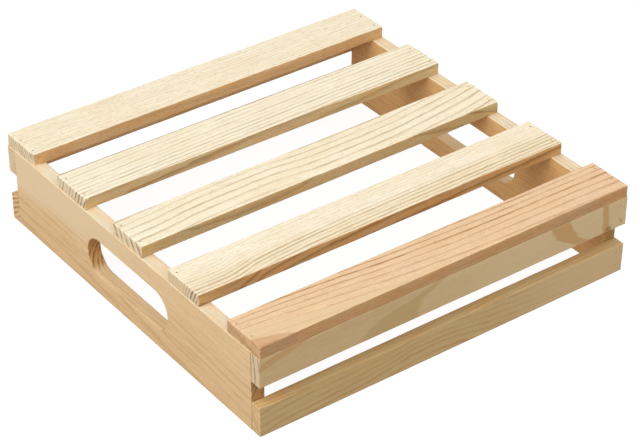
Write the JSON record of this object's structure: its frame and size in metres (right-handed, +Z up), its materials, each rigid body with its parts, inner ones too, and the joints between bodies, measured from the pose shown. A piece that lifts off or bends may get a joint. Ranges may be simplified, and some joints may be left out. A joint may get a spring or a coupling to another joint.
{
  "type": "slatted crate pallet",
  "caption": "Low square slatted wooden pallet, nailed from thin boards, open underneath, with a hand hole in each end for lifting. It carries or displays light goods.",
  "frame": {"origin": "on the floor under the middle of the deck, at the centre of the bottom of the bounding box", "axes": "+X along the deck slats, from the left end board to the right one; +Y across the deck slats, from the front to the back; +Z up, out of the deck's top"},
  "size_m": [0.4, 0.4, 0.092],
  "materials": {
    "deck_wood": "bare planed softwood, matt, pale cream with straw-coloured grain",
    "front_deck_wood": "bare planed softwood, matt, warm pinkish tan with broad grain",
    "end_board_wood": "bare planed softwood, matt, even tan",
    "side_slat_wood": "bare sawn softwood, matt, olive tan",
    "brad_steel": "dull bright steel"
  },
  "bodies": {
    "root": {"brad_deck_slat_back_inner_left_back": "brad_steel", "brad_deck_slat_back_inner_left_front": "brad_steel", "brad_deck_slat_back_inner_right_back": "brad_steel", "brad_deck_slat_back_inner_right_front": "brad_steel", "brad_deck_slat_back_left_back": "brad_steel", "brad_deck_slat_back_left_front": "brad_steel", "brad_deck_slat_back_right_back": "brad_steel", "brad_deck_slat_back_right_front": "brad_steel", "brad_deck_slat_front_inner_left_back": "brad_steel", "brad_deck_slat_front_inner_left_front": "brad_steel", "brad_deck_slat_front_inner_right_back": "brad_steel", "brad_deck_slat_front_inner_right_front": "brad_steel", "brad_deck_slat_front_left_back": "brad_steel", "brad_deck_slat_front_left_front": "brad_steel", "brad_deck_slat_front_right_back": "brad_steel", "brad_deck_slat_front_right_front": "brad_steel", "brad_deck_slat_middle_left_back": "brad_steel", "brad_deck_slat_middle_left_front": "brad_steel", "brad_deck_slat_middle_right_back": "brad_steel", "brad_deck_slat_middle_right_front": "brad_steel", "brad_side_slat_back_lower_left_high": "brad_steel", "brad_side_slat_back_lower_left_low": "brad_steel", "brad_side_slat_back_lower_right_high": "brad_steel", "brad_side_slat_back_lower_right_low": "brad_steel", "brad_side_slat_back_upper_left_high": "brad_steel", "brad_side_slat_back_upper_left_low": "brad_steel", "brad_side_slat_back_upper_right_high": "brad_steel", "brad_side_slat_back_upper_right_low": "brad_steel", "brad_side_slat_front_lower_left_high": "brad_steel", "brad_side_slat_front_lower_left_low": "brad_steel", "brad_side_slat_front_lower_right_high": "brad_steel", "brad_side_slat_front_lower_right_low": "brad_steel", "brad_side_slat_front_upper_left_high": "brad_steel", "brad_side_slat_front_upper_left_low": "brad_steel", "brad_side_slat_front_upper_right_high": "brad_steel", "brad_side_slat_front_upper_right_low": "brad_steel", "deck_slat_back": "deck_wood", "deck_slat_back_inner": "deck_wood", "deck_slat_front": "front_deck_wood", "deck_slat_front_inner": "deck_wood", "deck_slat_middle": "deck_wood", "end_board_left": "end_board_wood", "end_board_right": "end_board_wood", "side_slat_back_lower": "side_slat_wood", "side_slat_back_upper": "side_slat_wood", "side_slat_front_lower": "side_slat_wood", "side_slat_front_upper": "side_slat_wood"}
  },
  "joints": []
}
